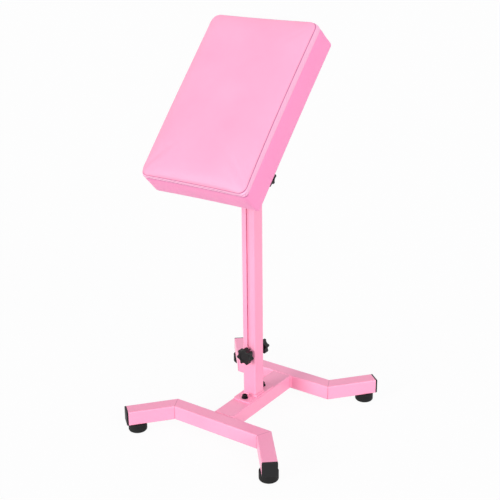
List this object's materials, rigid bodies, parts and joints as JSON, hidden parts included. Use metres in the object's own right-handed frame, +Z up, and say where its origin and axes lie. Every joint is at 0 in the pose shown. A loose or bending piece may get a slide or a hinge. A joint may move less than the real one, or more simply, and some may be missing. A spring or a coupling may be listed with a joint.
{
  "type": "tattoo armrest stand",
  "caption": "Height-adjustable armrest stand: low dog-bone base, slotted column with star-knob clamp, and a thick padded rest that tilts on a slotted quadrant.",
  "frame": {"origin": "on the floor under the middle of the column", "axes": "+Z up, the padded face looks up and towards -Y, the tilt axis runs along X and the tilt knob is on the +X side"},
  "size_m": [0.4928, 0.556, 1.0645],
  "materials": {
    "frame_paint": "satin powder coat in light pink",
    "rest_vinyl": "soft satin leatherette in pink, sewn seams",
    "cap_plastic": "matte black moulding",
    "knob_plastic": "satin black moulding",
    "foot_rubber": "matte black rubber",
    "black_steel": "black oxide steel",
    "zinc_steel": "bright zinc plate",
    "insert_brass": "turned brass",
    "nylon": "moulded nylon, black",
    "foam": "open-cell foam",
    "plywood": "plain plywood",
    "back_cloth": "black non-woven dust cloth"
  },
  "bodies": {
    "base": {"centre_beam": "frame_paint", "front_cross_tube": "frame_paint", "rear_cross_tube": "frame_paint", "front_right_leg": "frame_paint", "front_left_leg": "frame_paint", "rear_left_leg": "frame_paint", "rear_right_leg": "frame_paint", "front_right_end_cap": "cap_plastic", "front_left_end_cap": "cap_plastic", "rear_left_end_cap": "cap_plastic", "rear_right_end_cap": "cap_plastic", "front_right_foot": "foot_rubber", "front_left_foot": "foot_rubber", "rear_left_foot": "foot_rubber", "rear_right_foot": "foot_rubber", "foot_washers": "zinc_steel", "foot_screws": "zinc_steel", "foot_nuts": "zinc_steel", "column_foot_plate": "frame_paint", "foot_plate_bolts": "black_steel", "foot_plate_washers": "black_steel", "foot_plate_nuts": "zinc_steel", "column_tube": "frame_paint", "column_top_sleeve": "nylon"},
    "post": {"inner_post": "frame_paint", "post_foot_shoe": "nylon", "stud_spacer": "zinc_steel", "height_clamp_stud": "zinc_steel", "clamp_washers": "zinc_steel", "pivot_tube": "frame_paint", "lock_boss": "frame_paint", "lock_spacer": "zinc_steel", "lock_bolt": "zinc_steel", "friction_disc": "nylon", "lock_washer": "zinc_steel"},
    "front_grip": {"front_knob": "knob_plastic", "front_knob_insert": "insert_brass"},
    "rear_grip": {"rear_knob": "knob_plastic", "rear_knob_insert": "insert_brass"},
    "tilt_grip": {"tilt_knob": "knob_plastic", "tilt_knob_insert": "insert_brass"},
    "head": {"left_cheek": "frame_paint", "angle_quadrant": "frame_paint", "rest_mount_plate": "frame_paint", "pivot_bolt": "zinc_steel", "pivot_lock_nut": "zinc_steel", "pivot_washers": "zinc_steel", "pivot_bushes": "nylon", "rest_cover": "rest_vinyl", "rest_foam": "foam", "rest_board": "plywood", "rest_tee_nuts": "zinc_steel", "rest_screws": "black_steel", "rest_back_cloth": "back_cloth"}
  },
  "joints": [
    {"name": "height_slide", "type": "slide", "parent": "base", "child": "post", "axis": [0, 0, 1], "range_m": [0, 0.415]},
    {"name": "rest_tilt", "type": "hinge", "parent": "post", "child": "head", "pos_m": [0, 0, 0.808], "axis": [1, 0, 0], "range_deg": [-47, 28]},
    {"name": "front_knob_turn", "type": "hinge", "parent": "post", "child": "front_grip", "pos_m": [0, -0.034, 0.192], "axis": [0, -1, 0], "range_deg": [0, 360]},
    {"name": "rear_knob_turn", "type": "hinge", "parent": "post", "child": "rear_grip", "pos_m": [0, 0.034, 0.192], "axis": [0, 1, 0], "range_deg": [0, 360]},
    {"name": "tilt_knob_turn", "type": "hinge", "parent": "post", "child": "tilt_grip", "pos_m": [0.05, 0, 0.687], "axis": [1, 0, 0], "range_deg": [0, 360]}
  ]
}
